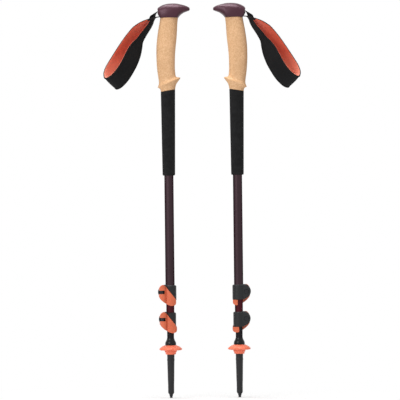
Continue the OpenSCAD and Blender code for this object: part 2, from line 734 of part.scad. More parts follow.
place("right") lower_clamp();  // right_lower_clamp
place("right") lower_lever();  // right_lower_lever
place("right") lower_barrel_nut();  // right_lower_barrel_nut
place("right") lower_screw();  // right_lower_screw
place("right") lower_washer();  // right_lower_washer
place("right") lower_plug();  // right_lower_plug
place("right") lower_shaft();  // right_lower_shaft
place("right") tip();  // right_tip
place("right") tip_ferrule();  // right_tip_ferrule
place("right") hard_point();  // right_hard_point
place("right") basket();  // right_basket
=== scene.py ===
from math import cos, pi, radians, sin

import bmesh
import bpy
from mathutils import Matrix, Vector


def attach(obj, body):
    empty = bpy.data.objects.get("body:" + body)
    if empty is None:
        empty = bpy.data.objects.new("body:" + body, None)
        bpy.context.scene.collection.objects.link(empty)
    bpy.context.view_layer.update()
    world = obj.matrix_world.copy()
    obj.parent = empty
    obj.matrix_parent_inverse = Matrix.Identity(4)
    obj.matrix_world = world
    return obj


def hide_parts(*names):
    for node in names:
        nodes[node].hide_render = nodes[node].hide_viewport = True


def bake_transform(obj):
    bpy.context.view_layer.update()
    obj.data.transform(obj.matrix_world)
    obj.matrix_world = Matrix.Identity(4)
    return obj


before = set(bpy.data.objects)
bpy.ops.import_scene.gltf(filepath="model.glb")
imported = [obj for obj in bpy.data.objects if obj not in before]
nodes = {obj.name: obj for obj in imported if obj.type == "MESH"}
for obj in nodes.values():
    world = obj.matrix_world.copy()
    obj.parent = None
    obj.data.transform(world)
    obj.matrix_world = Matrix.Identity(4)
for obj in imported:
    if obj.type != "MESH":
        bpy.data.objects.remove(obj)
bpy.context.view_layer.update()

scene = bpy.context.scene

SIDES = ("left", "right")
MM = 0.001
POLE_X = 0.06  # metres from the middle to each shaft
BORE_EDGE = 0.0114  # metres: moulded edges nearer than this to a shaft's axis stay sharp
SHARP = 30  # degrees: moulded edges that turn by more than this are rounded
CREASE = 50  # degrees: the same for the cap's and the cork's edges


# ---------------------------------------------------------------- hand tools

def only(*objects):
    """Selects these objects and nothing else."""
    bpy.ops.object.select_all(action="DESELECT")
    for o in objects:
        o.select_set(True)
    bpy.context.view_layer.objects.active = objects[-1]


def named(name):
    """Names the object that was just made."""
    made = bpy.context.object
    made.name = made.data.name = name
    return made


def in_scene(name, mesh):
    """Puts a mesh into the scene as a piece of that name."""
    mesh.name = name
    piece = bpy.data.objects.new(name, mesh)
    scene.collection.objects.link(piece)
    return piece


def closed(name, bm):
    """Turns a mesh in the making into a piece, with its faces outwards."""
    bmesh.ops.recalc_face_normals(bm, faces=bm.faces)
    mesh = bpy.data.meshes.new(name)
    bm.to_mesh(mesh)
    bm.free()
    return in_scene(name, mesh)


def edited(piece, *steps):
    """Runs edit steps, each with its settings, on the whole of a piece's mesh."""
    only(piece)
    bpy.ops.object.mode_set(mode="EDIT")
    bpy.ops.mesh.select_all(action="SELECT")
    for step, settings in steps:
        step(**settings)
    bpy.ops.object.mode_set(mode="OBJECT")


def apply_modifier(piece, kind, **settings):
    only(piece)
    modifier = piece.modifiers.new(kind.title(), kind)
    for key, value in settings.items():
        setattr(modifier, key, value)
    bpy.ops.object.modifier_apply(modifier=modifier.name)


def round_edges(piece, width, which="ANGLE"):
    """Rounds the creases, or by WEIGHT the marked edges, by a width in millimetres."""
    apply_modifier(piece, "BEVEL", width=width * MM, segments=2, limit_method=which,
                   angle_limit=radians(CREASE), use_clamp_overlap=False)


def smooth(piece, angle):
    only(piece)
    bpy.ops.object.shade_smooth_by_angle(angle=radians(angle))


def settle(piece):
    """Puts the piece's place into its mesh."""
    only(piece)
    bpy.ops.object.transform_apply(location=True, rotation=True, scale=True)


def dress(piece, finish):
    piece.data.materials.clear()
    piece.data.materials.append(finish)


def carve(piece, cutter):
    """Cuts one piece out of another and puts the cutter away."""
    apply_modifier(piece, "BOOLEAN", operation="DIFFERENCE", object=cutter, solver="EXACT")
    bpy.data.objects.remove(cutter)


def twin_of(piece, move, **settings):
    """A copy of a left piece, moved over to the right."""
    only(piece)
    bpy.ops.object.duplicate()
    made = named(piece.name.replace("left_", "right_"))
    move(center_override=(0, 0, 0), **settings)
    settle(made)
    return made


def other_pole(piece):
    """The right pole's piece, which is the left one turned half round."""
    return twin_of(piece, bpy.ops.transform.rotate, value=pi, orient_axis="Z")


def mirror_image(piece):
    """The right strap's piece, which is the left one's mirror image."""
    made = twin_of(piece, bpy.ops.transform.resize, value=(-1, 1, 1))
    edited(made, (bpy.ops.mesh.normals_make_consistent, {"inside": False}))
    return made


def on_left_pole(x, y, z):
    """A point given in millimetres, with x from the left shaft's axis, in the scene's metres."""
    return Vector((x * MM - POLE_X, y * MM, z * MM))


def turns(count):
    """Angles all round a circle."""
    return [2 * pi * i / count for i in range(count)]


def girth(ring):
    return sum((ring[i] - ring[i - 1]).length for i in range(len(ring)))


def skin(name, rings, closed_way=False):
    """A skin over rings of points, with faces over its ends or, if closed, back to its first ring.

    Its UV map runs across and along it in metres.
    """
    n = len(rings[0])
    across, along = [0.0], [0.0]
    widest = max(rings, key=girth)
    for a, b in zip(widest, widest[1:] + widest[:1]):
        across.append(across[-1] + (b - a).length)
    for a, b in zip(rings, rings[1:] + (rings[:1] if closed_way else [])):
        along.append(along[-1] + (sum(b, Vector()) - sum(a, Vector())).length / n)
    bm = bmesh.new()
    rows = [[bm.verts.new(p) for p in ring] for ring in rings]
    uv = bm.loops.layers.uv.new("UVMap")
    for j in range(len(along) - 1):
        for i in range(n):
            k, m = (i + 1) % n, (j + 1) % len(rows)
            face = bm.faces.new((rows[j][i], rows[j][k], rows[m][k], rows[m][i]))
            corners = ((i, j), (i + 1, j), (i + 1, j + 1), (i, j + 1))
            for loop, (u, v) in zip(face.loops, corners):
                loop[uv].uv = (across[u], along[v])
    if not closed_way:
        bm.faces.new(rows[0])
        bm.faces.new(rows[-1])
    return closed(name, bm)


def between(a, b, c, d, t):
    """A number on the smooth curve from b to c, where a comes before and d after them."""
    return 0.5 * (2 * b + (c - a) * t + (2 * a - 5 * b + 4 * c - d) * t * t
                  + (3 * b - a - 3 * c + d) * t ** 3)


def refine(rows, n):
    """Rows with n - 1 more between each two, on a smooth curve through them."""
    last = len(rows) - 1
    made = []
    for i in range(last):
        four = [rows[max(i - 1, 0)], rows[i], rows[i + 1], rows[min(i + 2, last)]]
        made += [tuple(between(*values, k / n) for values in zip(*four)) for k in range(n)]
    return made + [tuple(rows[-1])]


def rounded(c, power):
    """A sine or cosine, for an oval that comes nearer to a rectangle with a higher power."""
    return (1 if c > 0 else -1) * abs(c) ** (2 / power)


def ease(x):
    """0 up to x = 0, 1 from x = 1, and a soft step between them."""
    t = min(max(x, 0), 1)
    return t * t * (3 - 2 * t)


def clear_of_bore(vertex):
    return Vector((vertex.co.x + POLE_X, vertex.co.y)).length > BORE_EDGE


def mark_edges(piece):
    """Gives full bevel weight to the sharp edges that lie clear of the shaft's bore."""
    bm = bmesh.new()
    bm.from_mesh(piece.data)
    weight = bm.edges.layers.float.new("bevel_weight_edge")
    for edge in bm.edges:
        sharp = len(edge.link_faces) == 2 and edge.calc_face_angle() > radians(SHARP)
        edge[weight] = 1.0 if sharp and all(clear_of_bore(v) for v in edge.verts) else 0.0
    bm.to_mesh(piece.data)
    bm.free()


def eased(node, name, edge):
    """A copy of a moulded CAD solid with its outer edges rounded, by millimetres."""
    piece = in_scene(name, nodes[node].data.copy())
    edited(piece, (bpy.ops.mesh.remove_doubles, {"threshold": 0.000002}),
           (bpy.ops.mesh.dissolve_limited, {"angle_limit": radians(1)}))
    mark_edges(piece)
    round_edges(piece, edge, "WEIGHT")
    smooth(piece, SHARP)
    apply_modifier(piece, "WEIGHTED_NORMAL", keep_sharp=True, weight=50)
    return piece


# ---------------------------------------------------------------- shader nodes

def set_socket(tree, socket, value):
    """Links a socket to the value if that is another node's output, and else sets it."""
    if isinstance(value, bpy.types.NodeSocket):
        tree.links.new(value, socket)
    else:
        socket.default_value = value


def add(tree, kind, settings=None, **inputs):
    """Adds a node. Its inputs are given by name, or as i0, i1 and so on by number."""
    made = tree.nodes.new("ShaderNode" + kind)
    for key, value in (settings or {}).items():
        setattr(made, key, value)
    for key, value in inputs.items():
        numbered = key[0] == "i" and key[1:].isdigit()
        set_socket(tree, made.inputs[int(key[1:]) if numbered else key.replace("_", " ")], value)
    return made


def new_finish(name, colour, roughness, **sockets):
    """A material with a plain shader, and its tree to add grain to."""
    material = bpy.data.materials.new(name)
    material.use_nodes = True
    tree = material.node_tree
    shader = tree.nodes["Principled BSDF"]
    shader.inputs["Base Color"].default_value = (*colour, 1)
    shader.inputs["Roughness"].default_value = roughness
    for key, value in sockets.items():
        shader.inputs[key.replace("_", " ")].default_value = value
    material.diffuse_color = (*colour, 1)
    return material, tree, shader


def place_of(tree, way="Object", scale=(1, 1, 1)):
    spot = add(tree, "TexCoord").outputs[way]
    return add(tree, "Mapping", Vector=spot, Scale=scale).outputs["Vector"]


def noise(tree, spot, scale, detail, roughness=0.5):
    return add(tree, "TexNoise", Vector=spot, Scale=scale, Detail=detail,
               Roughness=roughness).outputs["Fac"]


def spread(tree, value, low, high, to_low, to_high, kind="LINEAR"):
    """Maps the range from low to high onto another range."""
    return add(tree, "MapRange", {"interpolation_type": kind}, Value=value, From_Min=low,
               From_Max=high, To_Min=to_low, To_Max=to_high).outputs[0]


def ramp(tree, factor, stops):
    made = add(tree, "ValToRGB", Fac=factor)
    line = made.color_ramp
    while len(line.elements) < len(stops):
        line.elements.new(0.5)
    for element, (at, colour) in zip(line.elements, stops):
        element.position = at
        element.color = (*colour, 1)
    return made.outputs["Color"]


def blend_colours(tree, factor, a, b, way="MIX"):
    """Mixes two colours, each a triple or another node's output."""
    made = add(tree, "Mix", {"data_type": "RGBA", "blend_type": way}, i0=factor)
    for socket, value in ((made.inputs[6], a), (made.inputs[7], b)):
        set_socket(tree, socket, (*value, 1) if isinstance(value, tuple) else value)
    return made.outputs[2]


def sums(tree, way, a, b):
    return add(tree, "Math", {"operation": way}, i0=a, i1=b).outputs[0]


def weighted(tree, *parts):
    """The sum of parts that are each a value and its weight."""
    scaled = [sums(tree, "MULTIPLY", value, weight) for value, weight in parts]
    total = scaled.pop()
    while scaled:
        total = sums(tree, "ADD", scaled.pop(), total)
    return total


def relief(tree, shader, height, depth, strength=1.0):
    bump = add(tree, "Bump", Height=height, Distance=depth, Strength=strength)
    tree.links.new(bump.outputs["Normal"], shader.inputs["Normal"])


def toned(colour, factor):
    return tuple(min(max(c * factor, 0), 1) for c in colour)


# ---------------------------------------------------------------- finishes

BELL_FOOT = 0.088  # metres up: the tip is black above this
PAINTED_LIGHT_FROM, PAINTED_LIGHT_TO = 0.61, 0.56  # metres up: painted light makes the lining paler from here down to here


def moulded(name, colour, roughness, depth=0.00006, tint=0.06, **sockets):
    """Moulded plastic: a fine spark-eroded grain, with slight patches of gloss and tone."""
    material, tree, shader = new_finish(name, colour, roughness, **sockets)
    spot = place_of(tree)
    fine = noise(tree, spot, 900.0, 3.0, 0.6)
    broad = noise(tree, spot, 60.0, 4.0, 0.55)
    tones = [(0.3, toned(colour, 1 - 2 * tint)), (0.7, toned(colour, 1 + 2 * tint))]
    tree.links.new(ramp(tree, broad, tones), shader.inputs["Base Color"])
    rough = spread(tree, weighted(tree, (fine, 0.5), (broad, 0.5)), 0.3, 0.7,
                   roughness - 0.06, roughness + 0.08)
    tree.links.new(rough, shader.inputs["Roughness"])
    relief(tree, shader, fine, depth)
    return material


def anodised(name, colour, roughness, **sockets):
    """Drawn and anodised metal: faint rings round it and streaks along it."""
    material, tree, shader = new_finish(name, colour, roughness, **sockets)
    rings = noise(tree, place_of(tree, scale=(20, 20, 3200)), 1.0, 3.0)
    streaks = noise(tree, place_of(tree, scale=(700, 700, 8)), 1.0, 4.0)
    both = weighted(tree, (rings, 0.5), (streaks, 0.5))
    tones = [(0.35, toned(colour, 0.86)), (0.65, toned(colour, 1.16))]
    tree.links.new(ramp(tree, both, tones), shader.inputs["Base Color"])
    rough = spread(tree, both, 0.3, 0.7, roughness - 0.05, roughness + 0.07)
    tree.links.new(rough, shader.inputs["Roughness"])
    relief(tree, shader, rings, 0.00002, 0.6)
    return material


def tube(name, colour):
    """An anodised tube with a dark edge tint, painted shade that darkens it towards its edges."""
    return anodised(name, colour, 0.36, Metallic=1.0, Specular_Tint=(0.12, 0.096, 0.102, 1))


def cork_finish():
    """Pressed cork granules, each of its own tan, with dark specks of bark between them."""
    material, tree, shader = new_finish("pressed_cork", (0.75, 0.456, 0.25), 0.8,
                                        Specular_IOR_Level=0.15)
    spot = place_of(tree)
    wobble = add(tree, "TexNoise", Vector=spot, Scale=500.0, Detail=2.0).outputs["Color"]
    moved = add(tree, "VectorMath", {"operation": "MULTIPLY_ADD"}, i0=wobble,
                i1=(0.0012, 0.0012, 0.0012), i2=spot).outputs[0]
    grains = {"Vector": moved, "Scale": 560.0, "Randomness": 1.0}
    granule = add(tree, "TexVoronoi", **grains).outputs["Color"]
    gap = add(tree, "TexVoronoi", {"feature": "DISTANCE_TO_EDGE"}, **grains).outputs["Distance"]
    tone = add(tree, "SeparateColor", Color=granule).outputs[0]
    tans = ramp(tree, tone, [(0.0, (0.71, 0.42, 0.22)), (0.45, (0.78, 0.475, 0.265)),
                             (1.0, (0.85, 0.545, 0.315))])
    bark = ramp(tree, noise(tree, spot, 820.0, 5.0, 0.7), [(0.60, (0, 0, 0)), (0.70, (1, 1, 1))])
    speckled = blend_colours(tree, bark, tans, (0.42, 0.21, 0.09))
    seam = ramp(tree, gap, [(0.0, (1, 1, 1)), (0.07, (0, 0, 0))])
    seamed = blend_colours(tree, sums(tree, "MULTIPLY", seam, 0.35), speckled, (0.5, 0.27, 0.12))
    worn = ramp(tree, noise(tree, spot, 45.0, 3.0), [(0.3, (0.93, 0.92, 0.9)), (0.7, (1, 1, 1))])
    tree.links.new(blend_colours(tree, 1.0, seamed, worn, "MULTIPLY"), shader.inputs["Base Color"])
    height = weighted(tree, (gap, 0.9), (noise(tree, spot, 2200.0, 4.0), 0.35))
    relief(tree, shader, height, 0.00035, 0.7)
    return material


def foam_finish():
    """Closed-cell foam: matt black with fine pores."""
    material, tree, shader = new_finish("black_foam", (0.012, 0.012, 0.013), 0.82,
                                        Specular_IOR_Level=0.1, Sheen_Weight=0.03,
                                        Sheen_Roughness=0.6)
    spot = place_of(tree)
    pores = add(tree, "TexVoronoi", Vector=spot, Scale=1500.0).outputs["Distance"]
    tones = [(0.3, (0.009, 0.009, 0.0095)), (0.7, (0.016, 0.016, 0.0165))]
    cloud = ramp(tree, noise(tree, spot, 140.0, 4.0), tones)
    tree.links.new(cloud, shader.inputs["Base Color"])
    relief(tree, shader, pores, 0.00025, 0.6)
    return material


def woven(name, dark, light, across, along, roughness=0.75, depth=0.0003, fuzz=0.2, **sockets):
    """Cloth woven over and under, with threads across and along of these widths in millimetres."""
    middle = tuple((a + b) / 2 for a, b in zip(dark, light))
    material, tree, shader = new_finish(name, middle, roughness, Sheen_Weight=fuzz,
                                        Sheen_Roughness=0.5, **sockets)
    spot = place_of(tree, "UV")
    split = add(tree, "SeparateXYZ", Vector=spot).outputs
    waves = []
    for axis, size in ((0, across), (1, along)):
        angle = sums(tree, "MULTIPLY", split[axis], pi / (size * MM))
        waves.append(add(tree, "Math", {"operation": "SINE"}, i0=angle).outputs[0])
    ridge = spread(tree, sums(tree, "MULTIPLY", *waves), -1.0, 1.0, 0.0, 1.0)
    lint = noise(tree, spot, 900.0, 4.0)
    patch = noise(tree, spot, 70.0, 3.0)
    tone = weighted(tree, (ridge, 0.35), (lint, 0.35), (patch, 0.3))
    tree.links.new(ramp(tree, tone, [(0.25, dark), (0.75, light)]), shader.inputs["Base Color"])
    relief(tree, shader, sums(tree, "ADD", ridge, sums(tree, "MULTIPLY", lint, 0.4)), depth, 0.7)
    return material


def lining_finish():
    """Brushed orange cloth, with painted light making it paler towards the foot of the loop."""
    material = woven("orange_lining", (0.58, 0.07, 0.03), (0.8, 0.13, 0.065), 0.5, 0.5,
                     roughness=0.85, fuzz=0.3, Specular_IOR_Level=0.2)
    tree = material.node_tree
    shader = tree.nodes["Principled BSDF"]
    cloth = shader.inputs["Base Color"].links[0].from_socket
    height = add(tree, "SeparateXYZ", Vector=place_of(tree)).outputs[2]
    # Painted light: the lining turns a lit salmon towards the loop's foot
    low = spread(tree, height, PAINTED_LIGHT_FROM, PAINTED_LIGHT_TO, 0.0, 0.9, "SMOOTHSTEP")
    tree.links.new(blend_colours(tree, low, cloth, (0.96, 0.36, 0.24)), shader.inputs["Base Color"])
    return material


def tip_finish():
    """The tip's tough dark grey plastic, and its glossier black bell above the basket's thread."""
    material, tree, shader = new_finish("tip_grey_nylon", (0.02, 0.02, 0.0215), 0.36,
                                        Specular_IOR_Level=0.25)
    spot = place_of(tree)
    height = add(tree, "SeparateXYZ", Vector=spot).outputs[2]
    upper = spread(tree, height, BELL_FOOT, BELL_FOOT + MM, 0.0, 1.0)
    tones = [(0.3, (0.017, 0.017, 0.0185)), (0.7, (0.023, 0.023, 0.0245))]
    grey = ramp(tree, noise(tree, spot, 60.0, 4.0), tones)
    tree.links.new(blend_colours(tree, upper, grey, (0.003, 0.003, 0.0035)),
                   shader.inputs["Base Color"])
    tree.links.new(spread(tree, upper, 0.0, 1.0, 0.4, 0.22), shader.inputs["Roughness"])
    relief(tree, shader, noise(tree, spot, 900.0, 3.0), 0.00004)
    return material


plum_cap = moulded("plum_cap", (0.05, 0.015, 0.024), 0.33, depth=0.00002, tint=0.03,
                   Specular_IOR_Level=0.42, Specular_Tint=(1, 0.72, 0.84, 1))
pressed_cork = cork_finish()
black_foam = foam_finish()
turned_steel = anodised("turned_steel", (0.55, 0.55, 0.56), 0.32, Metallic=1.0)
blackened_steel = anodised("blackened_steel", (0.03, 0.03, 0.033), 0.38, Metallic=0.85)
black_nylon = moulded("black_nylon", (0.013, 0.014, 0.0155), 0.42, Specular_IOR_Level=0.28)
coral_plastic = moulded("coral_plastic", (0.68, 0.15, 0.068), 0.4, tint=0.03,
                        Specular_IOR_Level=0.35, Subsurface_Weight=0.04, Subsurface_Scale=0.002)
basket_plastic = moulded("basket_plastic", (0.95, 0.21, 0.11), 0.42, tint=0.03,
                         Specular_IOR_Level=0.4, Subsurface_Weight=0.06, Subsurface_Scale=0.002)
tip_plastic = tip_finish()
black_weave = woven("black_weave", (0.005, 0.005, 0.0055), (0.013, 0.013, 0.014), 0.7, 0.7,
                    fuzz=0.04, Specular_IOR_Level=0.1)
black_thread = woven("black_thread", (0.01, 0.01, 0.011), (0.022, 0.022, 0.024), 0.3, 0.3,
                     depth=0.0001, fuzz=0.05, Specular_IOR_Level=0.1)
webbing_weave = woven("webbing_weave", (0.005, 0.004, 0.005), (0.016, 0.012, 0.014), 1.1, 0.8,
                      depth=0.0004, fuzz=0.05, Specular_IOR_Level=0.15)
orange_lining = lining_finish()
plum_tube = tube("plum_tube", (0.05, 0.031, 0.037))
maroon_tube = tube("maroon_tube", (0.064, 0.013, 0.018))
black_tube = tube("black_tube", (0.02, 0.018, 0.02))

FINISHES = [
    (plum_cap, ["cap"]),
    (pressed_cork, ["cork_grip"]),
    (black_foam, ["foam_sleeve"]),
    (webbing_weave, ["strap_webbing"]),
    (black_weave, ["strap_band"]),
    (orange_lining, ["strap_lining"]),
    (turned_steel, ["strap_pin"]),
    (plum_tube, ["upper_shaft"]),
    (maroon_tube, ["middle_shaft"]),
    (black_tube, ["lower_shaft"]),
    (tip_plastic, ["tip"]),
    (basket_plastic, ["basket"]),
    (coral_plastic, ["upper_lever", "lower_lever"]),
    (black_nylon, ["upper_clamp", "lower_clamp", "upper_washer", "lower_washer", "middle_plug",
                   "lower_plug", "strap_wedge"]),
    (blackened_steel, ["upper_barrel_nut", "lower_barrel_nut", "upper_screw", "lower_screw",
                       "tip_ferrule", "hard_point"]),
]
for finish, dressed in FINISHES:
    for node in dressed:
        for side in SIDES:
            dress(nodes["%s_%s" % (side, node)], finish)


# ---------------------------------------------------------------- cap
# From here on lengths are in millimetres, unless a line says otherwise.

CAP_POWER = 2.4
CAP_FOOT = 665  # height of the cap's underside
# From the rear of the cap to its beak: ahead of the shaft, underside, top, half width
CAP_ROWS = [
    (-17, 8.5, 15.2, 5), (-16.4, 6.5, 16.8, 8.5), (-15, 3.5, 18.2, 10.6), (-12, -4, 20.2, 12.6),
    (-8, -9, 22.2, 14.2), (-1, -9, 24.2, 15.6), (8, -9, 25, 16), (15, -7.6, 24.8, 15.4),
    (19, -1.6, 24.3, 14.6), (22, 3, 23.6, 13.6), (28, 7.8, 22.2, 11.6), (34, 10.3, 20.2, 8.8),
    (38, 11.8, 18, 5.6), (39.6, 13, 16.4, 3),
]
# The upper and the lower slot for the webbing and the chamber between them, by their corners
CAP_HOLLOWS = [
    ((-30, -8.5, 674), (-8, 8.5, 678.4)),
    ((-30, -8.5, 664), (-8, 8.5, 668.2)),
    ((-9.6, -8.5, 664), (2.4, 8.5, 679.5)),
]


def box_at(name, low, high):
    """A plain block between two corners, to cut with."""
    middle = [(a + b) / 2 for a, b in zip(low, high)]
    bpy.ops.object.select_all(action="DESELECT")
    bpy.ops.mesh.primitive_cube_add(size=1, location=on_left_pole(*middle),
                                    scale=[(b - a) * MM for a, b in zip(low, high)])
    made = named(name)
    settle(made)
    return made


def make_cap():
    """The cap with its beak, cut flat below and hollowed for the webbing."""
    rings = []
    for x, under, top, half in refine(CAP_ROWS, 5):
        middle, rise = CAP_FOOT + (under + top) / 2, (top - under) / 2
        rings.append([on_left_pole(x, rounded(cos(a), CAP_POWER) * half,
                                   middle + rounded(sin(a), CAP_POWER) * rise) for a in turns(64)])
    cap = skin("left_grip_cap", rings)
    cut = {"plane_co": (0, 0, (CAP_FOOT + 0.05) * MM), "plane_no": (0, 0, 1), "use_fill": True,
           "clear_inner": True}
    edited(cap, (bpy.ops.mesh.bisect, cut))
    for n, (low, high) in enumerate(CAP_HOLLOWS):
        carve(cap, box_at("slot_%d" % n, low, high))
    round_edges(cap, 0.3)
    smooth(cap, 40)
    dress(cap, plum_cap)
    return cap


# ---------------------------------------------------------------- wrist strap

WEBBING_HALF = 7.5
NECK = Vector((-28, 0, 660.5))  # the webbing's two strands meet the loop here
NECK_TWIST, HAND_TWIST = 30, 50  # degrees that the band is twisted at the neck and in the hand
TWIST_END = 45  # how far down the loop the twist has grown to that of the hand
FOOT_LEAN = 0.16  # how far the band leans down at the loop's foot, as a slope
HANG_ANGLE = radians(33)  # how far the strap hangs away from the pole
HANG = Vector((-sin(HANG_ANGLE), 0, -cos(HANG_ANGLE)))  # the way down the loop
LIFT = Vector((cos(HANG_ANGLE), 0, -sin(HANG_ANGLE)))  # square to it, towards the pole
ACROSS = Vector((0, 1, 0))
LOOP_SCALE = 130.5 / 135.5  # the loop's length over the one that these rows have
# How far down the loop, half its opening, width: the nearer side, the foot, and the far side
# back up to the neck
LOOP = [
    (0.6, 1.4, 15), (4, 2, 15), (10, 2.7, 15), (20, 2.4, 15), (30, 2.1, 15.5), (41, 2.4, 17.3),
    (52, 4, 25.9), (65, 7, 33.1), (82, 11, 36), (97, 13, 36), (110, 13, 36), (121, 10.6, 36),
    (130.5, 6, 36),
    (135.5, -1.2, 36),
    (131.5, -8.6, 36), (125, -13, 36), (114, -15.6, 36), (90, -16.2, 36), (70, -16, 36),
    (52, -15, 36), (31, -11.6, 36), (22, -8.8, 35.3), (14, -6.2, 31.7), (6, -3.6, 22.5),
    (0.6, -1.4, 15),
]


class Station:
    """One of a ribbon's line of points, with its ways ahead, across and out.

    Across is the way nearest to the given one that is square to the line. Half is half the
    ribbon's width, and place says how far along the ribbon the station is.
    """

    def __init__(self, points, i, across, half, place):
        self.point = points[i]
        self.ahead = (points[min(i + 1, len(points) - 1)] - points[max(i - 1, 0)]).normalized()
        self.across = (across - across.dot(self.ahead) * self.ahead).normalized()
        self.out = self.across.cross(self.ahead)
        self.half = half
        self.place = place


def twist_at(down):
    return radians(NECK_TWIST + (HAND_TWIST - NECK_TWIST) * ease(down / TWIST_END))


def opening_way(down):
    """The way in which the loop opens, this far down it."""
    return LIFT * cos(twist_at(down)) - ACROSS * sin(twist_at(down))


def way_across(twist):
    return LIFT * sin(twist) + ACROSS * cos(twist)


def loop_stations(n):
    """Stations round the loop, n for each row, placed by how far down it they are."""
    rows = refine(LOOP, n)
    points = [NECK + down * LOOP_SCALE * HANG + opening * opening_way(down)
              for down, opening, width in rows]
    made = []
    for i, (down, opening, width) in enumerate(rows):
        lean = FOOT_LEAN * ease((down - 70) / 50)
        across = -(way_across(twist_at(down)) + lean * HANG)
        made.append(Station(points, i, across, width / 2, down))
    return made


def ribbon(name, stations, section):
    """Runs a section along stations: section(station) gives its points, across and out."""
    return skin(name, [[on_left_pole(*(s.point + across * s.across + out * s.out))
                        for across, out in section(s)] for s in stations])


def both_halves(line):
    """A section's line from one edge to its middle, and on to the other edge."""
    return line + [(-x, z) for x, z in reversed(line[:-1])]


def fullness(half):
    """0 where the band is as narrow as the webbing, and 1 where it is fully padded."""
    return ease((half - WEBBING_HALF) / 6)


def tape_width(half):
    return 1.6 + 1.8 * fullness(half)


def band_section(s):
    """The padded outer band with a binding tape sewn round each edge."""
    half, full, tape = s.half, fullness(s.half), tape_width(s.half)
    field = half - tape
    low, high = 1.05 + 0.25 * full, 1.25 + 0.55 * full
    edge = [(-half + 0.1, 0.6), (-half + 0.35, high - 0.45), (-half + 0.9, high - 0.02),
            (-half + 0.5 * tape, high + 0.1), (-field - 0.4, high - 0.06),
            (-field - 0.05, low), (-field + 0.45, low + 0.12)]
    crown = [(u * (field - 0.45), low + 0.14 + (0.1 + 0.5 * full) * (1 - abs(u) ** 2.2))
             for u in (-0.85, -0.65, -0.45, -0.2, 0)]
    under = [(half - 0.35, 0.1), (half - 1, 0.0), (0, 0.0), (-half + 1, 0.0), (-half + 0.35, 0.1)]
    return both_halves(edge + crown) + under


def lining_section(s):
    """The soft lining, tucked under the tapes, a little fuller in the middle."""
    edge = s.half - 0.45
    inner = [(-edge + 0.3, -0.12), (0, -0.12), (edge - 0.3, -0.12)]
    outer = [(u * (edge - 0.35), -1.05 - 0.3 * (1 - abs(u) ** 3))
             for u in (1, 0.85, 0.6, 0.3, 0, -0.3, -0.6, -0.85, -1)]
    return (inner + [(edge, -0.4), (edge - 0.02, -0.8)] + outer
            + [(-edge + 0.02, -0.8), (-edge, -0.4)])


LINING_TOP = 2.5  # how far down the loop the lining starts
TACK_TOP, TACK_FOOT = 2, 8  # the tack's ends; the thread along the tapes starts at its foot
THREAD_WIDTH, THREAD_HEIGHT = 0.55, 0.22
# A stitch from end to end, as shares of its length and size, and its section, as shares of both
STITCH_LINE = ((-0.5, 0.3), (-0.32, 1), (0.32, 1), (0.5, 0.3))
STITCH_SECTION = ((-1, -0.6), (-0.7, 0.7), (0, 1), (0.7, 0.7), (1, -0.6))


def add_stitch(bm, s, across, out, length):
    rings = []
    for reach, size in STITCH_LINE:
        spot = s.point + across * s.across + out * s.out + reach * length * s.ahead
        rings.append([bm.verts.new(on_left_pole(*(spot + a * size * THREAD_WIDTH / 2 * s.across
                                                  + b * size * THREAD_HEIGHT * s.out)))
                      for a, b in STITCH_SECTION])
    n = len(STITCH_SECTION)
    for a, b in zip(rings, rings[1:]):
        for i in range(n):
            bm.faces.new((a[i], a[(i + 1) % n], b[(i + 1) % n], b[i]))
    bm.faces.new(rings[0])
    bm.faces.new(rings[-1])


def stitches(name, stations, rows, pitch=3.2, length=2.2):
    """Rows of stitches along a ribbon: rows(half) gives how far across and out each one lies."""
    bm = bmesh.new()
    run, due, last = 0.0, pitch, stations[0].point
    for s in stations:
        run += (s.point - last).length
        last = s.point
        if run >= due:
            due += pitch
            for across, out in rows(s.half):
                add_stitch(bm, s, across, out, length)
    return closed(name, bm)


def tape_rows(half):
    """A row of thread along the middle of each binding tape."""
    return [(side * (half - 0.5 * tape_width(half)), 1.3 + 0.55 * fullness(half))
            for side in (-1, 1)]


def tack_rows(half):
    """Rows of thread all over the neck."""
    return [(side * (half - 2) * 0.25 * k, 1.32) for side in (-1, 1) for k in (1, 2, 3)]


PIN_X, PIN_Z = -5, 670.2
WRAP = 2.3  # from the pin's axis to the middle of the webbing round it
STRAND = 0.68 / cos(radians(NECK_TWIST))  # from the neck to a strand's middle, along LIFT
TAIL = 3  # how far the webbing's ends reach into the loop
LEVEL_X = -17.5  # ahead of this the webbing is level, and it is twisted as the neck behind TWIST_X
TWIST_X = -27
FULL_X = -18  # behind this the webbing grows fuller, over the next 4 mm


def webbing_line():
    """The webbing's way: out of the loop, round its pin in the cap, and back into the loop."""
    def beside(strands, up=0):
        return NECK + strands * STRAND * LIFT - up * HANG

    def end(opening):
        return NECK + opening * opening_way(TAIL) + TAIL * HANG

    lower = [beside(1), beside(1.1, 2.6), beside(2, 5), Vector((-20.6, 0, 665.7)),
             Vector((-15, 0, 666.6)), Vector((-9.5, 0, 667))]
    wrap = [Vector((PIN_X + WRAP * cos(radians(a)), 0, PIN_Z + WRAP * sin(radians(a))))
            for a in range(-100, 101, 25)]
    upper = [Vector((x, 0, CAP_FOOT + z)) for x, z in (
        (-7.6, 9.4), (-10.4, 11), (-14, 11.5), (-17, 10.5), (-20.6, 7.3), (-23.6, 3.6))]
    upper += [beside(-1.8, 5), beside(-1.1, 2.6), beside(-1)]
    return [end(0.95)] + lower + wrap + upper + [end(-1.15)]


def webbing_stations():
    """Stations along the webbing, placed by how far ahead of the shaft they are."""
    points = [Vector(row) for row in refine([tuple(p) for p in webbing_line()], 4)]
    made = []
    for i, p in enumerate(points):
        twist = radians(NECK_TWIST) * ease((p.x - LEVEL_X) / (TWIST_X - LEVEL_X))
        made.append(Station(points, i, way_across(twist), WEBBING_HALF, p.x))
    return made


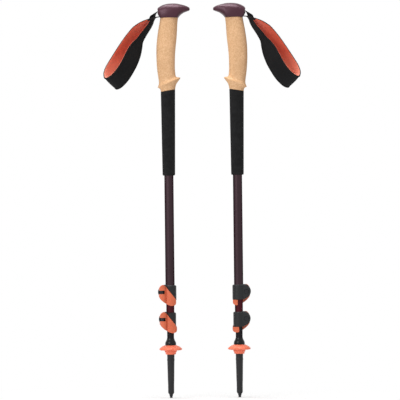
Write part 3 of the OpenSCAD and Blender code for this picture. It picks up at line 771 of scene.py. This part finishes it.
def webbing_section(s):
    """Flat webbing with a rounded selvage at each edge, a little fuller outside the cap."""
    half, full = s.half, 1 + 0.3 * ease((FULL_X - s.place) / 4)
    top = both_halves([(-half, 0.2), (-half + 0.25, 0.52), (-half + 1, 0.6), (-half + 1.5, 0.54),
                       (0, 0.57)])
    return [(x, full * z) for x, z in top] + [(x, -full * z) for x, z in reversed(top)]


def make_strap():
    """The band, its lining, the thread along its edges, the neck's tack, and the webbing."""
    coarse, fine = loop_stations(6), loop_stations(24)
    band = ribbon("left_padded_band", coarse, band_section)
    lining = ribbon("left_soft_lining", [s for s in coarse if s.place > LINING_TOP],
                    lining_section)
    thread = stitches("left_band_thread", [s for s in fine if s.place > TACK_FOOT], tape_rows)
    tack = stitches("left_neck_tack", [s for s in fine if TACK_TOP < s.place < TACK_FOOT],
                    tack_rows, pitch=1.3, length=1.0)
    webbing = ribbon("left_wrist_webbing", webbing_stations(), webbing_section)
    for piece, finish in ((band, black_weave), (lining, orange_lining), (thread, black_thread),
                          (tack, black_thread), (webbing, webbing_weave)):
        smooth(piece, 50)
        dress(piece, finish)
    return band, lining, thread, tack, webbing


# ---------------------------------------------------------------- cork and foam

BORE = 8.05  # radius of the bore for the shaft
SEAM_SLOPE = 0.16  # cork and foam meet on a slant
CORK_POWER = 2.3
CORK_FOOT = 537.5
CORK_LENGTH = 127.5
FOAM_FOOT = 389
FOAM_LENGTH = 148.4
FLUTES = 36
FLUTE_POINTS = 6
FLUTE_DEPTH = 0.42
# Up the cork: height above its foot, slope, reach to the front, to the rear and to each side
CORK_ROWS = [
    (0, SEAM_SLOPE, 12.6, 12.6, 12.6), (3.5, 0.17, 13.2, 13, 12.9), (8, 0.27, 15.2, 14.9, 14.2),
    (12.5, 0.4, 21.6, 17.8, 16.4), (14.4, 0.41, 20.6, 17.2, 16), (19, 0.36, 14.6, 15.6, 13.8),
    (27, 0.25, 13.2, 16.6, 13.6), (37, 0.13, 12.6, 18.2, 13.9), (49, 0.06, 12.7, 19.2, 14.3),
    (62, 0.02, 13.1, 19.6, 14.5), (77, 0, 14.4, 19.3, 14.5), (91, 0, 16, 18, 14.3),
    (105, 0, 17, 16, 14.1), (117, 0, 17.7, 13.8, 14), (CORK_LENGTH, 0, 19, 12, 14.3),
]
# Up the foam: radius, height above its foot, and 1 where it is fluted
FOAM_ROWS = [
    (BORE, 0, 0), (9.4, 0, 0), (10.2, 0.25, 0), (10.7, 0.9, 0), (11, 2.4, 0), (11.05, 4.5, 0),
    (11.1, 6.5, 1), *((11.1 + 1.5 * (z - 6.5) / 142, z, 1) for z in (30, 60, 90, 115)),
    (12.5, 138, 1), (12.55, 142, 0), (12.6, 145.5, 0), (12.6, FOAM_LENGTH, 0),
    (BORE, FOAM_LENGTH, 0),
]


def make_cork():
    """The hand-shaped cork, bored for the shaft."""
    around = turns(72)
    rings = []
    for up, slope, front, rear, side in refine(CORK_ROWS, 5):
        ring = []
        for a in around:
            x = rounded(cos(a), CORK_POWER) * (front if cos(a) > 0 else rear)
            ring.append(on_left_pole(x, rounded(sin(a), CORK_POWER) * side,
                                     CORK_FOOT + up + slope * x))
        rings.append(ring)
    for up, slope in ((CORK_LENGTH, 0), (0, SEAM_SLOPE)):
        rings.append([on_left_pole(BORE * cos(a), BORE * sin(a),
                                   CORK_FOOT + up + slope * BORE * cos(a)) for a in around])
    cork = skin("left_shaped_cork", rings, closed_way=True)
    round_edges(cork, 0.35)
    smooth(cork, 45)
    dress(cork, pressed_cork)
    return cork


def make_foam():
    """The foam sleeve, with shallow flutes down its length."""
    rings = []
    for r, up, fluted in FOAM_ROWS:
        ring = []
        for i, a in enumerate(turns(FLUTES * FLUTE_POINTS)):
            groove = (0.5 + 0.5 * cos(2 * pi * i / FLUTE_POINTS)) ** 2
            reach = r - FLUTE_DEPTH * fluted * groove
            x, y = reach * cos(a), reach * sin(a)
            slant = SEAM_SLOPE * x * max(0.0, (up - 100) / (FOAM_LENGTH - 100))
            ring.append(on_left_pole(x, y, FOAM_FOOT + up + slant))
        rings.append(ring)
    foam = skin("left_fluted_foam", rings, closed_way=True)
    smooth(foam, 40)
    dress(foam, black_foam)
    return foam


# ---------------------------------------------------------------- put together

def both_poles(piece, body, node):
    """Sets a left pole's piece in its CAD node's place, and its twin on the right pole."""
    for side, made in zip(SIDES, (piece, other_pole(piece))):
        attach(made, side + body)
        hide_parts(side + node)


both_poles(make_cap(), "_grip_body", "_cap")
both_poles(make_cork(), "_grip_body", "_cork_grip")
both_poles(make_foam(), "_grip_body", "_foam_sleeve")

band, lining, thread, tack, webbing = make_strap()
for piece, slot, node in ((band, "strap_outer", "_strap_band"),
                          (lining, "strap_lining", "_strap_lining"),
                          (thread, "webbing", None), (tack, "webbing", None),
                          (webbing, "webbing", "_strap_webbing")):
    for side, way, made in zip(SIDES, (1, -1), (piece, mirror_image(piece))):
        if node:
            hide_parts(side + node)
        if piece is webbing:
            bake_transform(made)
        else:
            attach(made, side + "_strap_body")

# Node, body, slot, finish and the rounding of its edges
MOULDED = [
    ("upper_lever", "_upper_lever_body", "orange_plastic", coral_plastic, 0.3),
    ("lower_lever", "_lower_lever_body", "orange_plastic", coral_plastic, 0.3),
    ("upper_clamp", "_grip_body", "black_plastic", black_nylon, 0.35),
    ("lower_clamp", "_middle_body", "black_plastic", black_nylon, 0.35),
    ("basket", "_basket_body", "orange_plastic", basket_plastic, 0.4),
    ("tip", "_lower_body", "tip_plastic", tip_plastic, 0.2),
]
for node, body, slot, finish, edge in MOULDED:
    piece = eased("left_" + node, "left_moulded_" + node, edge)
    dress(piece, finish)
    both_poles(piece, body, "_" + node)


# ---------------------------------------------------------------- floor, light and camera
# From here on lengths are in metres.

PALE = (0.86, 0.86, 0.86)
WHITE = (1, 1, 1, 1)
OPEN_FLOOR = 1.08  # how bright a white floor is here, clear of the poles
SHADE_FROM, SHADE_TO = 0.12, 0.5  # the floor shows its shadows up to here, and none from here on


def seen_rays(tree):
    """Camera, mirror and glass rays, which see the studio as white."""
    path = add(tree, "LightPath").outputs
    seen = sums(tree, "MAXIMUM", path["Is Camera Ray"], path["Is Glossy Ray"])
    return sums(tree, "MAXIMUM", seen, path["Is Transmission Ray"])


def floor_finish():
    """A pale floor that is seen as white, and still holds the poles' shadows near their points."""
    material, tree, shader = new_finish("pale_floor", PALE, 0.9, Specular_IOR_Level=0.0)
    seen = seen_rays(tree)
    spot = add(tree, "NewGeometry").outputs["Position"]
    away = add(tree, "VectorMath", {"operation": "LENGTH"}, i0=spot).outputs["Value"]
    shade = spread(tree, away, SHADE_FROM, SHADE_TO, 0.45, 0.0, "SMOOTHSTEP")
    dark = add(tree, "CombineColor", Red=shade, Green=shade, Blue=shade).outputs[0]
    tree.links.new(blend_colours(tree, seen, PALE, dark), shader.inputs["Base Color"])
    rest = sums(tree, "SUBTRACT", 1.0, sums(tree, "MULTIPLY", shade, OPEN_FLOOR))
    glow = add(tree, "Emission", Color=WHITE, Strength=sums(tree, "MULTIPLY", seen, rest))
    both = add(tree, "AddShader", i0=shader.outputs[0], i1=glow.outputs[0])
    tree.links.new(both.outputs[0], tree.nodes["Material Output"].inputs["Surface"])
    return material


def softbox(name, place, aim, width, height, power):
    """A rectangular lamp that faces the aim."""
    bpy.ops.object.select_all(action="DESELECT")
    bpy.ops.object.light_add(type="AREA", location=place)
    lamp = named(name)
    lamp.data.shape = "RECTANGLE"
    lamp.data.size, lamp.data.size_y = width, height
    lamp.data.energy = power
    lamp.rotation_euler = (Vector(aim) - Vector(place)).to_track_quat("-Z", "Y").to_euler()


bpy.ops.object.select_all(action="DESELECT")
bpy.ops.mesh.primitive_plane_add(size=16, location=(0, 0, -0.0005))
floor = named("studio_floor")
dress(floor, floor_finish())

world = scene.world or bpy.data.worlds.new("studio_air")
scene.world = world
world.use_nodes = True
tree = world.node_tree
tree.nodes.clear()
soft = add(tree, "Background", Color=WHITE, Strength=0.36)
white = add(tree, "Background", Color=WHITE, Strength=1.0)
mix = add(tree, "MixShader", i0=seen_rays(tree), i1=soft.outputs[0], i2=white.outputs[0])
out = add(tree, "OutputWorld")
tree.links.new(mix.outputs[0], out.inputs["Surface"])

softbox("front_softbox", (-1.5, -2.1, 1.5), (0, 0, 0.35), 1.8, 1.8, 36)
softbox("overhead_softbox", (-0.1, -0.1, 2.1), (0, 0, 0.5), 1.6, 0.8, 32)

camera_data = bpy.data.cameras.new("studio_camera")
camera = bpy.data.objects.new("studio_camera", camera_data)
scene.collection.objects.link(camera)
camera_data.lens = 400
camera_data.sensor_width = 36
camera_data.clip_end = 50
camera.location = (-0.006, -7.775, 0.3456)
camera.rotation_euler = (radians(90), radians(0.62), 0)  # the roll is the photo's slight lean
scene.camera = camera
scene.view_settings.view_transform = "Standard"
